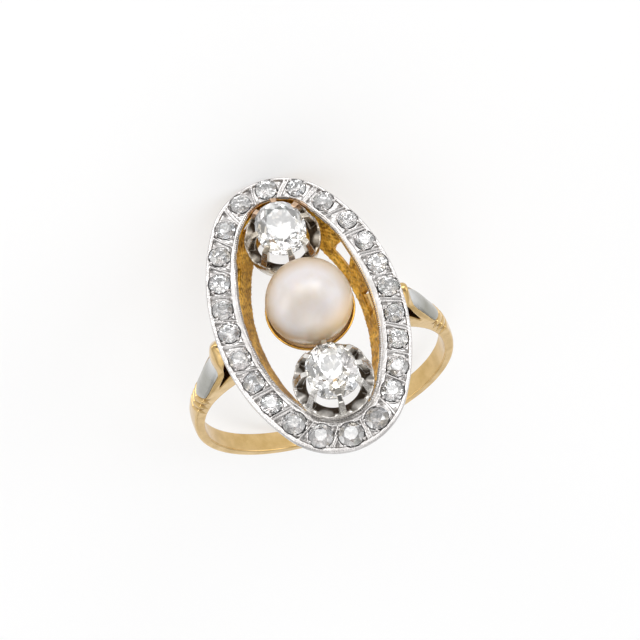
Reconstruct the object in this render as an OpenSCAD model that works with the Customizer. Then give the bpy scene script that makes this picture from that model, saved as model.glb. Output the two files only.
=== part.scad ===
// Pearl and diamond dress ring: a slim yellow gold shank with forked
// shoulders, a pierced gold under-gallery, an oval pave frame in white metal,
// a pearl in a gold cup and an old cut diamond in a claw collet on each side.
//
// The parts are drawn in the frame of the ring itself: x across the finger,
// y along the finger (and along the long axis of the oval), z from the middle
// of the finger hole to the head. At the end everything is laid on its side,
// on one end of the oval and the edge of the shank, at z = 0.

/* [Shank] */
// Radius of the finger hole
bore_r = 8.6; // [8.55:0.01:8.65]
// Width of the shank along the finger
shank_w = 1.42; // [1.3:0.02:1.5]
// Thickness of the shank at its edges
shank_edge = 0.64; // [0.5:0.02:0.9]
// Thickness of the shank at its crown
shank_crown = 0.72; // [0.7:0.02:0.9]
// How far the shank sits to the right of the oval's long axis
shank_x = 0.14; // [0:0.01:0.16]

/* [Shoulders] */
// Width of the shoulder where it meets the head
leaf_w = 2; // [1.94:0.02:2.1]
// Width of the white plaque let into each shoulder
plaque_w = 1.76; // [1.5:0.02:1.8]
// Thickness of the plaque
plaque_t = 0.16; // [0.12:0.02:0.2]
// Depth of the three V cuts below each plaque
rib_cut = 0.14; // [0.08:0.02:0.2]

/* [Oval frame] */
// Half length of the oval outside
oval_a = 9.85; // [9.85:0.05:10.2]
// Half width of the oval outside
oval_b = 6.12; // [5.9:0.02:6.3]
// Radius of the two end arcs of the oval outside
oval_r = 4.6; // [4.6:0.05:4.8]
// Width of the paved band
band_w = 2.0; // [1.9:0.05:2]
// Height of the frame's top above the middle of the finger hole
frame_z = 11.78; // [11.76:0.02:12]
// Thickness of the frame
frame_t = 0.88; // [0.7:0.02:0.9]
// Thickness of the frame at its two edges
frame_edge = 0.3; // [0.26:0.02:0.34]

/* [Under-gallery] */
// Height of the lower rail above the middle of the finger hole
rail_z = 9.17; // [9.15:0.01:9.4]
// How far the wall leans in from the frame's outline at its top
gal_top = 1.46; // [1.4:0.02:1.5]
// How far the wall leans in from the frame's outline at its foot
gal_foot = 2.2; // [2:0.02:2.4]
// Thickness of the wall
gal_t = 0.36; // [0.3:0.02:0.4]
// Number of windows pierced round the wall
windows = 10; // [8:1:12]
// Length of a window
window_l = 1.8; // [1.2:0.1:2]
// Height of the two windows on the right side, near its upper end
window_h = 1; // [0.8:0.05:1.1]
// Height of the other windows, which stay behind the frame from above
window_low = 0.5; // [0.3:0.05:0.8]

/* [Pearl and cup] */
// Radius of the pearl
pearl_r = 2.76; // [2.6:0.02:2.78]
// Height of the pearl's middle
pearl_z = 12.8; // [12.7:0.02:13]
// Radius of the cup's rim
cup_r = 2.88; // [2.8:0.02:3]
// Height of the cup's rim
cup_z = 11.74; // [11.5:0.02:11.9]

/* [Collets and diamonds] */
// Distance of each diamond from the pearl's middle
stone_d = 5.22; // [5.2:0.02:5.24]
// Half width of the diamond across the head
stone_rx = 1.6; // [1.5:0.02:1.7]
// Half length of the diamond along the head
stone_ry = 1.82; // [1.6:0.02:1.9]
// Height of the girdle
girdle_z = 13.3; // [13.2:0.02:13.5]
// How far the upper diamond sits to the right of the long axis
upper_x = 0.06; // [-0.06:0.02:0.06]
// How far the pearl sits to the right of the long axis
pearl_x = 0.14; // [-0.1:0.02:0.16]
// How far the lower diamond sits to the right of the long axis
lower_x = -0.08; // [-0.08:0.02:0.1]
// Outer radius of the lower collet
collet_r = 2.52; // [2.4:0.02:2.52]
// How much narrower the upper collet is
upper_less = 0.08; // [0.06:0.02:0.1]
// Height of the collet's rim
collet_z = 12.16; // [12:0.02:12.3]
// Radius of the open middle of the collet
collet_open = 1.76; // [1.6:0.02:1.9]
// Thickness of one claw
claw_t = 0.28; // [0.2:0.02:0.34]
// Number of claws
claws = 8; // [6:2:8]

/* [Hidden] */
gap = 0.03;
gold = [0.87, 0.72, 0.42];
dark_gold = [0.66, 0.47, 0.16];
white_metal = [0.78, 0.78, 0.77];
grey_metal = [0.62, 0.61, 0.59];
diamond_col = [0.90, 0.93, 0.96];
pearl_col = [0.93, 0.86, 0.79];

// The oval is four arcs: two ends of radius oval_r, two sides of radius side_R.
side_R = (pow(oval_a - oval_r, 2) + oval_b * oval_b - oval_r * oval_r)
         / (2 * (oval_b - oval_r));
end_c = oval_a - oval_r;
side_c = side_R - oval_b;
joint_a = atan2(end_c, side_c);
end_n = 15;
side_n = 12;

// One station on the outline, as [centre, radius, angle]
stations = concat(
    [for (i = [0:side_n - 1]) [[-side_c, 0], side_R, -joint_a + 2 * joint_a * i / side_n]],
    [for (i = [0:end_n - 1]) [[0, end_c], oval_r, joint_a + (180 - 2 * joint_a) * i / end_n]],
    [for (i = [0:side_n - 1]) [[side_c, 0], side_R, 180 - joint_a + 2 * joint_a * i / side_n]],
    [for (i = [0:end_n - 1]) [[0, -end_c], oval_r, 180 + joint_a + (180 - 2 * joint_a) * i / end_n]]);
// The point of a station on the oval that lies off inside the outline
function oval_pt(s, off) = s[0] + (s[1] - off) * [cos(s[2]), sin(s[2])];

// A closed band round the oval; each row of the section is [distance inside the outline, height]
module oval_band(section) {
    n = len(stations);
    m = len(section);
    pts = [for (s = stations) for (q = section) [each oval_pt(s, q[0]), q[1]]];
    polyhedron(pts, [for (i = [0:n - 1]) for (j = [0:m - 1])
        let (i2 = (i + 1) % n, j2 = (j + 1) % m)
        [i * m + j, i2 * m + j, i2 * m + j2, i * m + j2]]);
}

// Outline of the right shoulder seen along the finger, as [x, height]
shoulder_out = [[9.3, 0.2], [9.27, 1.2], [9.12, 2.3], [8.88, 3.4], [8.55, 4.5],
                [8.24, 5.35], [7.93, 6.2], [7.58, 7.1], [7.17, 8.1], [6.87, 9.1],
                [6.7, 10.0], [6.5, 10.9]];
shoulder_in = [[oval_b - 0.38, 10.86], [oval_b - 0.06, 9.8], [6.42, 8.14],
               [6.86, 6.7], [5.94, 7.98], [5.2, 8.5], [oval_b - gal_foot + gap + 0.06, 9.5],
               [oval_b - gal_foot + gap + 0.06, 9.14], [4.5, 8.2], [5.3, 6.7], [7.4, 3.2],
               [8.3, 0.2]];
// How far the shoulder's outer face falls away towards its two edges, at each height of the outline
shoulder_dome = [0.05, 0.06, 0.08, 0.1, 0.16, 0.25, 0.36, 0.44, 0.42, 0.36, 0.26, 0.2];
// Half width of the shoulder along the finger, as [height, half width]
shoulder_half = [[-0.2, shank_w / 2], [2.6, shank_w / 2 + 0.01], [4.1, 0.76], [5.2, 0.85],
                 [6.3, 0.95], [7.2, leaf_w / 2], [8.1, leaf_w / 2], [9.0, leaf_w / 2 - 0.05],
                 [9.7, leaf_w / 2 - 0.16], [10.3, leaf_w / 2 - 0.45], [10.86, 0.24]];
// Half width of the plaque, as [height, share of its widest]
leaf_half = [[5.0, 0.1], [5.3, 0.66], [5.8, 0.9], [6.7, 1], [7.5, 1.02],
             [8.3, 1.01], [9.1, 0.94], [9.6, 0.6]];

// A solid with the given [height, half width] table, seen along x
module width_of(table, k = 1) {
    pts = concat([for (q = table) [k * q[1], q[0]]],
                 [for (i = [len(table) - 1:-1:0]) [-k * table[i][1], table[i][0]]]);
    translate([3, 0, 0]) rotate([90, 0, 90]) linear_extrude(8) polygon(pts);
}
// A solid behind the domed outer face, moved in by d; its rows lie between those of the tables
module domed(d) {
    outline = [for (q = shoulder_out) [q[1], q[0]]];
    fall = [for (i = [0:len(shoulder_out) - 1]) [shoulder_out[i][1], shoulder_dome[i]]];
    n = 19;
    m = 11;
    z = [for (i = [0:n - 1]) 0.1137 + i * 0.6071];
    y = [for (j = [0:m - 1]) (j - 5) * 0.2313];
    pts = concat([for (i = [0:n - 1]) for (j = [0:m - 1])
                      [lookup(z[i], outline) - d - lookup(z[i], fall) * pow(y[j], 2), y[j], z[i]]],
                 [for (i = [0:n - 1]) for (j = [0:m - 1]) [2.9, y[j], z[i]]]);
    q = n * m;
    rim = concat([for (j = [0:m - 1]) j], [for (i = [1:n - 1]) i * m + m - 1],
                 [for (j = [m - 2:-1:0]) (n - 1) * m + j], [for (i = [n - 2:-1:1]) i * m]);
    polyhedron(pts, concat(
        [for (i = [0:n - 2]) for (j = [0:m - 2]) each
            [[i * m + j, i * m + m + j, i * m + j + 1], [i * m + j + 1, i * m + m + j, i * m + m + j + 1]]],
        [for (i = [0:n - 2]) for (j = [0:m - 2]) each
            [[q + i * m + j, q + i * m + j + 1, q + i * m + m + j],
             [q + i * m + j + 1, q + i * m + m + j + 1, q + i * m + m + j]]],
        [for (i = [0:len(rim) - 1]) let (a = rim[i], b = rim[(i + 1) % len(rim)]) each
            [[a, b, a + q], [b, b + q, a + q]]]));
}

// A shoulder whose foot is moved out by d, while its two tips stay at the head
module shoulder_blank(d) {
    intersection() {
        rotate([90, 0, 0]) linear_extrude(4, center = true)
            polygon(concat([for (q = shoulder_out) q + [d + 0.4, 0]],
                           [for (q = shoulder_in) q + [q[1] > 9 ? 0 : d, 0]]));
        width_of(shoulder_half);
        translate([d, 0, 0]) domed(0);
    }
}
// The layer of the shoulder between two depths under its outer face, cut to the leaf; less shortens it
module leaf_layer(top, bottom, k, less = 0) {
    intersection() {
        difference() {
            domed(top);
            domed(bottom);
        }
        width_of([for (q = leaf_half) [q[0] - less * sign(q[0] - 7), q[1]]], k);
    }
}
// One V cut across the outer face, pointing down the shank
module v_cut(z, x) {
    for (s = [-1, 1])
        translate([x, 0, z]) rotate([0, -atan2(z, x), 0]) rotate([s * 32, 0, 0])
            translate([0, s * 1, 0]) rotate([0, 45, 0])
                cube([rib_cut * 1.42, 2.06, rib_cut * 1.42], center = true);
}
module right_shoulder(d) {
    difference() {
        shoulder_blank(d);
        translate([d, 0, 0]) {
            leaf_layer(-0.3, plaque_t, (plaque_w + 2 * gap) / 2);
            for (q = [[8.5, 4.66], [8.7, 4.0], [8.9, 3.32]]) v_cut(q[1], q[0]);
        }
    }
}
module hoop() {
    e = shank_w / 2;
    rotate([90, 0, 0]) rotate([0, 0, 177]) rotate_extrude(angle = 186, $fn = 96)
        polygon([[bore_r - 0.3, -e], [bore_r + shank_edge - 0.06, -e], [bore_r + shank_edge, -e + 0.08],
                 [bore_r + shank_crown, -0.34], [bore_r + shank_crown, 0.34],
                 [bore_r + shank_edge, e - 0.08], [bore_r + shank_edge - 0.06, e], [bore_r - 0.3, e]]);
}
module shank_ring() {
    color(gold) difference() {
        union() {
            translate([shank_x, 0, 0]) hoop();
            right_shoulder(shank_x);
            mirror([1, 0, 0]) right_shoulder(-shank_x);
        }
        translate([shank_x, 0, 0]) rotate([90, 0, 0]) cylinder(h = 8, r = bore_r, center = true, $fn = 128);
    }
}
module plaque(side) {
    color(grey_metal) translate([shank_x, 0, 0]) mirror([side < 0 ? 1 : 0, 0, 0])
        leaf_layer(0, plaque_t - gap, plaque_w / 2, gap);
}

// The under-gallery: a rail, a leaning wall with windows and a top bead
gal_z = frame_z - frame_t + 0.26 - gap;
module gallery_wall() {
    color(dark_gold) difference() {
        oval_band([[gal_foot, rail_z], [gal_foot + gal_t + 0.14, rail_z],
                   [gal_foot + gal_t + 0.1, rail_z + 0.2], [gal_top + gal_t, gal_z], [gal_top, gal_z],
                   [gal_foot - 0.1, rail_z + 0.42], [gal_foot - 0.02, rail_z + 0.3]]);
        for (i = [0:windows - 1]) {
            s = gallery_station(i / windows - 0.006);
            p = oval_pt(s, (gal_top + gal_foot + gal_t) / 2);
            h = i < 2 ? window_h : window_low;
            translate([p[0], p[1], gal_z - 0.08 - h]) rotate([0, 0, s[2]])
                rotate([90, 0, 90]) linear_extrude(2, center = true)
                    polygon([[-window_l / 2, 0], [window_l / 2, 0], [window_l / 2 - 0.36, h], [0.36 - window_l / 2, h]]);
        }
    }
}
// The station at a share of the way round the oval at the windows' depth, from the middle of the right side
win_off = (gal_top + gal_foot) / 2 + gal_t / 2;
side_len = (side_R - win_off) * joint_a * PI / 180;
end_len = (oval_r - win_off) * (180 - 2 * joint_a) * PI / 180;
whole_len = 4 * side_len + 2 * end_len;
function gallery_station(u) = let (d = (u - floor(u)) * whole_len)
    d < side_len ? [[-side_c, 0], side_R, d / side_len * joint_a]
    : d < side_len + end_len ? [[0, end_c], oval_r, joint_a + (d - side_len) / end_len * (180 - 2 * joint_a)]
    : d < 3 * side_len + end_len ? [[side_c, 0], side_R, 180 - joint_a + (d - side_len - end_len) / side_len * joint_a]
    : d < 3 * side_len + 2 * end_len ? [[0, -end_c], oval_r, 180 + joint_a + (d - 3 * side_len - end_len) / end_len * (180 - 2 * joint_a)]
    : [[-side_c, 0], side_R, -joint_a + (d - 3 * side_len - 2 * end_len) / side_len * joint_a];

// The paved frame, slightly domed between two fine rims; it tapers to thin edges below
module paved_frame() {
    z0 = frame_z - frame_t;
    color(white_metal) oval_band([[0.32, z0], [1.15, z0], [1.27, z0 + 0.26], [band_w - 0.3, z0 + 0.26],
        [band_w, frame_z - frame_edge], [band_w, frame_z - 0.14], [band_w - 0.12, frame_z - 0.02],
        [band_w / 2, frame_z], [0.12, frame_z - 0.02], [0, frame_z - 0.14], [0, frame_z - frame_edge]]);
}

function rim_r(side) = side > 0 ? collet_r - upper_less : collet_r;
// A ring of metal, open in the middle, with a dished top
module collet_base(r) {
    difference() {
        rotate_extrude($fn = 72)
            polygon([[collet_open, collet_z - 0.34], [collet_open, collet_z - 0.62],
                     [r - 0.3, collet_z - 1.2], [r, collet_z - 1.2],
                     [r, collet_z - 0.06], [r - 0.1, collet_z]]);
        for (i = [0:claws - 1])
            rotate([0, 0, (i + 0.5) * 360 / claws]) translate([r, 0, collet_z + 0.24])
                rotate([0, 90, 0]) cylinder(h = 2.4, r = 0.52, center = true, $fn = 32);
    }
}
// Distance of the girdle from the stone's axis in a direction
function girdle_at(a) = 1 / sqrt(pow(cos(a) / stone_rx, 2) + pow(sin(a) / stone_ry, 2));
module claw(a, r) {
    g = girdle_at(a) + 0.03;
    rotate([0, 0, a]) rotate([90, 0, 0]) linear_extrude(claw_t, center = true)
        polygon([[r - 0.02, collet_z - 0.5], [r - 0.02, collet_z + 0.02],
                 [g + 0.22, girdle_z + 0.1], [g + 0.1, girdle_z + 0.24], [g - 0.16, girdle_z + 0.28],
                 [g, girdle_z + 0.06], [g, girdle_z - 0.2], [collet_open + 0.12, collet_z - 0.5]]);
}
module collet(side) {
    r = rim_r(side);
    color(white_metal) translate([side > 0 ? upper_x : lower_x, side * stone_d, 0]) {
        collet_base(r);
        for (i = [0:claws - 1]) claw(90 + i * 360 / claws, r);
    }
}
// An old cut stone: cushion girdle, high crown, small table, small culet
module stone_slice(k, z, h) {
    translate([0, 0, z]) linear_extrude(h)
        polygon([for (i = [0:15]) let (a = i * 22.5, q = 1 + 0.03 * pow(sin(2 * a), 2))
            k * q * [stone_rx * cos(a), stone_ry * sin(a)]]);
}
module diamond(side) {
    color(diamond_col) translate([side > 0 ? upper_x : lower_x, side * stone_d, 0]) hull() {
        stone_slice(0.97, girdle_z - 0.06, 0.1);
        stone_slice(0.5, girdle_z + 0.6, 0.01);
        stone_slice(0.12, girdle_z - 1.36, 0.01);
    }
}

// The cup, cut back where the two collets meet it
module cup() {
    hollow = pearl_r + gap;
    rim = sqrt(hollow * hollow - pow(pearl_z - cup_z, 2));
    arc0 = asin((pearl_z - cup_z) / hollow);
    color(gold) difference() {
        translate([pearl_x, 0, 0]) rotate_extrude($fn = 96)
            polygon(concat([[0, pearl_z - hollow - 0.32], [1.5, pearl_z - hollow - 0.22], [2.3, cup_z - 1.0],
                            [cup_r - 0.08, cup_z - 0.3], [cup_r, cup_z], [rim + 0.12, cup_z]],
                           [for (i = [1:9]) let (a = arc0 + (90 - arc0) * i / 9)
                               [hollow * cos(a), pearl_z - hollow * sin(a)]]));
        for (s = [-1, 1]) translate([s > 0 ? upper_x : lower_x, s * stone_d, 8])
            cylinder(h = 6, r = rim_r(s) + gap, $fn = 72);
    }
}

// How the ring lies: the far end of the oval and the edge of the shank touch z = 0
foot_y = end_c + oval_r * cos((90 - joint_a) / end_n);
foot_z = frame_z - frame_edge;
edge_z = -(bore_r + shank_edge - 0.06);
lean = atan2(foot_y - shank_w / 2, foot_z - edge_z);
lift = foot_y * cos(lean) - foot_z * sin(lean);
// Half of the box along Y lies before the origin: the foremost claw tip and the hoop's far side
claw_q = girdle_at(90) + 0.03;
front_y = max((stone_d + claw_q + 0.1) * sin(lean) + (girdle_z + 0.24) * cos(lean),
              (stone_d + claw_q - 0.16) * sin(lean) + (girdle_z + 0.28) * cos(lean));
back_y = max((bore_r + shank_crown) * cos(lean) + 0.34 * sin(lean),
             (bore_r + shank_edge) * cos(lean) + (shank_w / 2 - 0.08) * sin(lean));
rest_y = (front_y - back_y) / 2;

module rest() {
    translate([shank_x, rest_y, lift]) rotate([0, 0, 180]) rotate([lean - 90, 0, 0]) children();
}

rest() shank_ring();  // shank
rest() plaque(-1);  // shoulder_plaque_left
rest() plaque(1);  // shoulder_plaque_right
rest() gallery_wall();  // gallery
rest() paved_frame();  // oval_frame
rest() collet(1);  // collet_upper
rest() collet(-1);  // collet_lower
rest() diamond(1);  // diamond_upper
rest() diamond(-1);  // diamond_lower
rest() cup();  // pearl_cup
rest() color(pearl_col) translate([pearl_x, 0, pearl_z]) sphere(r = pearl_r, $fn = 96);  // pearl
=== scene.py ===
import bpy
import math
import numpy as np
from mathutils import Matrix, Vector


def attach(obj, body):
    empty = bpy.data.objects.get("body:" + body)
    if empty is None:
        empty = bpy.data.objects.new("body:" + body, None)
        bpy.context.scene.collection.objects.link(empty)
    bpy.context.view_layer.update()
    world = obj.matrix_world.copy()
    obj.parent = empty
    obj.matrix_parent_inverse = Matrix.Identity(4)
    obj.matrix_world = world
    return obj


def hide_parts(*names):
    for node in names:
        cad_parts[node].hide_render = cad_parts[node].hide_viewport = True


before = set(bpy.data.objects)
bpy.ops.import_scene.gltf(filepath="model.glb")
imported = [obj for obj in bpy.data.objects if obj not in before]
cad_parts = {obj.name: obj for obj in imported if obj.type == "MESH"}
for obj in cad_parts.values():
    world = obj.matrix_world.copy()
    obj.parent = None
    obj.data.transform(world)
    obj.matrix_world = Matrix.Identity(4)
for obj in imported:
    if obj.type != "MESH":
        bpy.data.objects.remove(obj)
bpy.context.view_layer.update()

# ------------------------------------------------------------------ sizes, in mm, in the ring's own frame
# x across the finger, y along the oval, z from the middle of the finger hole to the head
SHANK_X = 0.14
BORE, CROWN, EDGE, SHANK_W = 8.6, 0.72, 0.64, 1.42
OVAL_A, OVAL_B, OVAL_R = 9.85, 6.12, 4.6
BAND_W, FRAME_Z, FRAME_T, FRAME_EDGE = 2.0, 11.78, 0.88, 0.3
RAIL_Z, GAL_TOP, GAL_FOOT, GAL_T = 9.17, 1.46, 2.2, 0.36
PEARL_R, PEARL_Z, PEARL_X = 2.76, 12.8, 0.14
CUP_R, CUP_Z = 2.88, 11.74
STONE_D, STONE_RX, STONE_RY, GIRDLE_Z = 5.22, 1.6, 1.82, 13.3
UPPER_X, LOWER_X = 0.06, -0.08
RIM_LOWER, RIM_UPPER, RIM_Z = 2.52, 2.44, 12.16

SIDE_R = ((OVAL_A - OVAL_R) ** 2 + OVAL_B ** 2 - OVAL_R ** 2) / (2 * (OVAL_B - OVAL_R))
END_C = OVAL_A - OVAL_R
SIDE_C = SIDE_R - OVAL_B
JOINT = math.atan2(END_C, SIDE_C)

# ------------------------------------------------------------------ from the ring's frame to the row's frame
foot_y = END_C + OVAL_R * math.cos((math.pi / 2 - JOINT) / 15)
foot_z = FRAME_Z - FRAME_EDGE
edge_z = -(BORE + EDGE - 0.06)
LEAN = math.atan2(foot_y - SHANK_W / 2, foot_z - edge_z)
SN, CS = math.sin(LEAN), math.cos(LEAN)
lift = foot_y * CS - foot_z * SN
claw_q = STONE_RY + 0.03
front_y = max((STONE_D + claw_q + 0.1) * SN + (GIRDLE_Z + 0.24) * CS,
              (STONE_D + claw_q - 0.16) * SN + (GIRDLE_Z + 0.28) * CS)
back_y = max((BORE + CROWN) * CS + 0.34 * SN, (BORE + EDGE) * CS + (SHANK_W / 2 - 0.08) * SN)
REST = np.array([[-1.0, 0.0, 0.0], [0.0, -SN, -CS], [0.0, -CS, SN]])
MOVE = np.array([SHANK_X, (front_y - back_y) / 2, lift])


def to_row(p):
    """Points of the ring's frame in mm, as points of the row frame in metres."""
    return (np.asarray(p, float) @ REST.T + MOVE) * 1e-3


# ------------------------------------------------------------------ camera, at the photograph's place
CAM_ROWS = np.array([[0.9445976, -0.31962859, -0.07465213],
                     [-0.32060639, -0.84973944, -0.41851454],
                     [0.07033436, 0.41926178, -0.90513681]])
CAM_D = 126.553
cam_at = to_row(np.array([0.0, 0.0, 11.0]) - CAM_D * CAM_ROWS[2])
right, up, back = REST @ CAM_ROWS[0], -(REST @ CAM_ROWS[1]), -(REST @ CAM_ROWS[2])
cam_data = bpy.data.cameras.new("camera")
cam_data.sensor_width = 36.0
cam_data.lens = 15.845 * CAM_D / 640 * 36
cam_data.shift_x = (320 - 308.797) / 640
cam_data.shift_y = -(320 - 314.047) / 640
cam_data.clip_start = 0.005
cam_data.clip_end = 20.0
camera = bpy.data.objects.new("camera", cam_data)
m = Matrix.Identity(4)
for i in range(3):
    m[i][0], m[i][1], m[i][2], m[i][3] = right[i], up[i], back[i], cam_at[i]
camera.matrix_world = m
bpy.context.scene.collection.objects.link(camera)
bpy.context.scene.camera = camera

# ------------------------------------------------------------------ node helpers


class Tree:
    """A small helper round one node tree."""

    def __init__(self, tree):
        self.t = tree

    def add(self, kind, **sets):
        n = self.t.nodes.new(kind)
        for k, v in sets.items():
            if k.startswith("in_"):
                key = k[3:]
                key = int(key) if key.isdigit() else key.replace("_", " ")
                n.inputs[key].default_value = v
            else:
                setattr(n, k, v)
        return n

    def link(self, a, out, b, inp):
        self.t.links.new(a.outputs[out], b.inputs[inp])

    def math(self, op, a, b=None, clamp=False):
        n = self.t.nodes.new("ShaderNodeMath")
        n.operation, n.use_clamp = op, clamp
        for i, v in enumerate((a, b)):
            if v is None:
                continue
            if isinstance(v, (int, float)):
                n.inputs[i].default_value = v
            else:
                self.t.links.new(v, n.inputs[i])
        return n.outputs[0]

    def ramp(self, fac, stops, interp="LINEAR"):
        n = self.t.nodes.new("ShaderNodeValToRGB")
        n.color_ramp.interpolation = interp
        e = n.color_ramp.elements
        while len(e) < len(stops):
            e.new(0.5)
        for el, (p, c) in zip(e, stops):
            el.position = p
            el.color = c if len(c) == 4 else (*c, 1.0)
        self.t.links.new(fac, n.inputs[0])
        return n.outputs[0]

    def mix(self, fac, a, b, kind="MIX"):
        n = self.t.nodes.new("ShaderNodeMix")
        n.data_type, n.blend_type = "RGBA", kind
        for i, v in ((0, fac), (6, a), (7, b)):
            if isinstance(v, (int, float)):
                n.inputs[i].default_value = v
            elif isinstance(v, tuple):
                n.inputs[i].default_value = (*v, 1.0) if len(v) == 3 else v
            else:
                self.t.links.new(v, n.inputs[i])
        return n.outputs[2]


def material(name):
    mat = bpy.data.materials.new(name)
    mat.use_nodes = True
    t = Tree(mat.node_tree)
    bsdf = mat.node_tree.nodes["Principled BSDF"]
    return mat, t, bsdf


def noise(t, scale, detail=3.0, rough=0.5, w=None, coord=None, stretch=None):
    """Noise on the row frame's own coordinates; scale is in features per mm."""
    tc = t.add("ShaderNodeTexCoord")
    src = tc.outputs["Object"]
    if stretch is not None:
        mp = t.add("ShaderNodeMapping")
        mp.inputs["Scale"].default_value = stretch
        t.t.links.new(src, mp.inputs["Vector"])
        src = mp.outputs[0]
    n = t.add("ShaderNodeTexNoise")
    n.inputs["Scale"].default_value = scale * 1000.0
    n.inputs["Detail"].default_value = detail
    n.inputs["Roughness"].default_value = rough
    t.t.links.new(src, n.inputs["Vector"])
    return n.outputs["Fac"]


def bump(t, bsdf, height, strength, distance_mm):
    b = t.add("ShaderNodeBump")
    b.inputs["Strength"].default_value = strength
    b.inputs["Distance"].default_value = distance_mm * 1e-3
    t.t.links.new(height, b.inputs["Height"])
    t.t.links.new(b.outputs[0], bsdf.inputs["Normal"])
    return b


def attribute(t, name):
    a = t.add("ShaderNodeAttribute")
    a.attribute_name = name
    return a

# ------------------------------------------------------------------ materials


def metal(name, light, dark, rough, rough_spread, scratch=0.35, painted_light_and_wear=None, speckle=0.0, least=0.55):
    """Polished metal: colour varies with a soft noise, with a fine one where it is rough, and with a painted-light mask
    attribute: painted shade that is 1 in the recesses, a worn patch on the frame, and on the plaques a painted pale
    sheen."""
    mat, t, b = material(name)
    b.inputs["Metallic"].default_value = 1.0
    col = t.mix(t.ramp(noise(t, 0.9, 3.0), [(0.35, (0, 0, 0)), (0.65, (1, 1, 1))]), light, dark)
    if speckle:
        fine = t.ramp(noise(t, 3.2, 4.0, 0.7), [(0.38, (1, 1, 1)), (0.56, (0, 0, 0))])
        col = t.mix(t.math("MULTIPLY", fine, speckle), col, tuple(0.35 * v for v in dark))
    # painted light: the mask mixes the colour towards a dark painted shade in hollows, or towards a pale painted sheen
    # on the plaques
    if painted_light_and_wear is not None:
        g = attribute(t, "painted_light_and_wear").outputs["Fac"]
        spots = t.ramp(noise(t, 6.0, 4.0, 0.6), [(0.35, (least,) * 3), (0.7, (1, 1, 1))])
        f = t.math("MULTIPLY", g, spots, True)
        col = t.mix(f, col, painted_light_and_wear)
    t.t.links.new(col, b.inputs["Base Color"])
    r = t.ramp(noise(t, 2.6, 4.0, 0.6), [(0.3, (rough - rough_spread,) * 3), (0.72, (rough + rough_spread,) * 3)])
    if painted_light_and_wear is not None:
        r = t.mix(attribute(t, "painted_light_and_wear").outputs["Fac"], r, (0.5, 0.5, 0.5))
    t.t.links.new(r, b.inputs["Roughness"])
    h = noise(t, 11.0, 3.0, 0.6, stretch=(1.0, 1.0, 0.25))
    bump(t, b, h, scratch, 0.003)
    return mat


GOLD = metal("pale_gold", (0.74, 0.525, 0.25), (0.62, 0.42, 0.17), 0.17, 0.06, 0.3, (0.16, 0.08, 0.02))
CUP_GOLD = metal("cup_gold", (0.66, 0.38, 0.09), (0.52, 0.27, 0.045), 0.22, 0.08, 0.5, (0.24, 0.11, 0.02), 0.25)
DEEP_GOLD = metal("gallery_gold", (0.98, 0.57, 0.085), (0.57, 0.27, 0.02), 0.40, 0.12, 1.0, (0.13, 0.06, 0.012), 0.85)
COPPER = metal("worn_copper", (0.90, 0.70, 0.53), (0.74, 0.49, 0.32), 0.25, 0.08, 0.8, (0.08, 0.04, 0.02), 0.4)
WHITE = metal("frame_white", (0.70, 0.68, 0.67), (0.58, 0.56, 0.55), 0.2, 0.08, 0.5, (0.10, 0.088, 0.075))
COLLET = metal("collet_white", (0.86, 0.84, 0.81), (0.66, 0.635, 0.59), 0.2, 0.08, 0.5, (0.06, 0.039, 0.023), 0.35, 0.92)
COLLET_WORN = metal("collet_worn", (0.80, 0.755, 0.68), (0.50, 0.43, 0.335), 0.24, 0.1, 0.7, (0.055, 0.031, 0.015), 0.5, 0.93)
# the plaques: a dark base colour for white metal, a painted dark reflection, with a pale painted sheen as the mask's
# colour
PLAQUE = metal("plaque_white", (0.34, 0.335, 0.295), (0.28, 0.275, 0.235), 0.15, 0.05, 0.2, (0.80, 0.81, 0.82), 0.0, 0.9)


def diamond_material():
    mat, t, b = material("old_cut_diamond")
    b.inputs["IOR"].default_value = 2.417
    b.inputs["Transmission Weight"].default_value = 0.9
    b.inputs["Roughness"].default_value = 0.0
    t.t.links.new(attribute(t, "tint").outputs["Color"], b.inputs["Base Color"])
    return mat


DIAMOND = diamond_material()


def pearl_material():
    mat, t, b = material("pearl_nacre")
    big = noise(t, 0.35, 2.0, 0.5)
    fine = noise(t, 1.2, 4.0, 0.55)
    body = t.mix(t.ramp(big, [(0.36, (0, 0, 0)), (0.64, (1, 1, 1))]), (0.60, 0.535, 0.485), (0.645, 0.60, 0.595))
    body = t.mix(t.math("MULTIPLY", t.ramp(fine, [(0.45, (0, 0, 0)), (0.75, (1, 1, 1))]), 0.25), body, (0.52, 0.42, 0.29))
    # painted shade and a golden painted reflection: the pearl tan and darker towards its outline
    lw = t.add("ShaderNodeLayerWeight", in_Blend=0.4)
    rim = t.ramp(lw.outputs["Facing"], [(0.24, (0, 0, 0)), (0.54, (1, 1, 1))])
    body = t.mix(t.math("MULTIPLY", rim, 0.92), body, (0.50, 0.355, 0.205))
    # painted reflection: golden on the side that faces the gold below
    low = t.math("MULTIPLY", attribute(t, "painted_light_and_wear").outputs["Fac"], 0.9)
    body = t.mix(low, body, (0.99, 0.75, 0.46))
    t.t.links.new(body, b.inputs["Base Color"])
    b.inputs["Roughness"].default_value = 0.34
    b.inputs["IOR"].default_value = 1.68
    b.inputs["Subsurface Weight"].default_value = 0.5
    b.inputs["Subsurface Radius"].default_value = (0.0012, 0.0008, 0.0005)
    b.inputs["Coat Weight"].default_value = 1.0
    b.inputs["Coat Roughness"].default_value = 0.32
    b.inputs["Coat IOR"].default_value = 2.4
    b.inputs["Coat IOR"].default_value = 1.6
    bump(t, b, noise(t, 3.0, 3.0, 0.5), 0.10, 0.004)
    return mat


PEARL = pearl_material()


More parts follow.
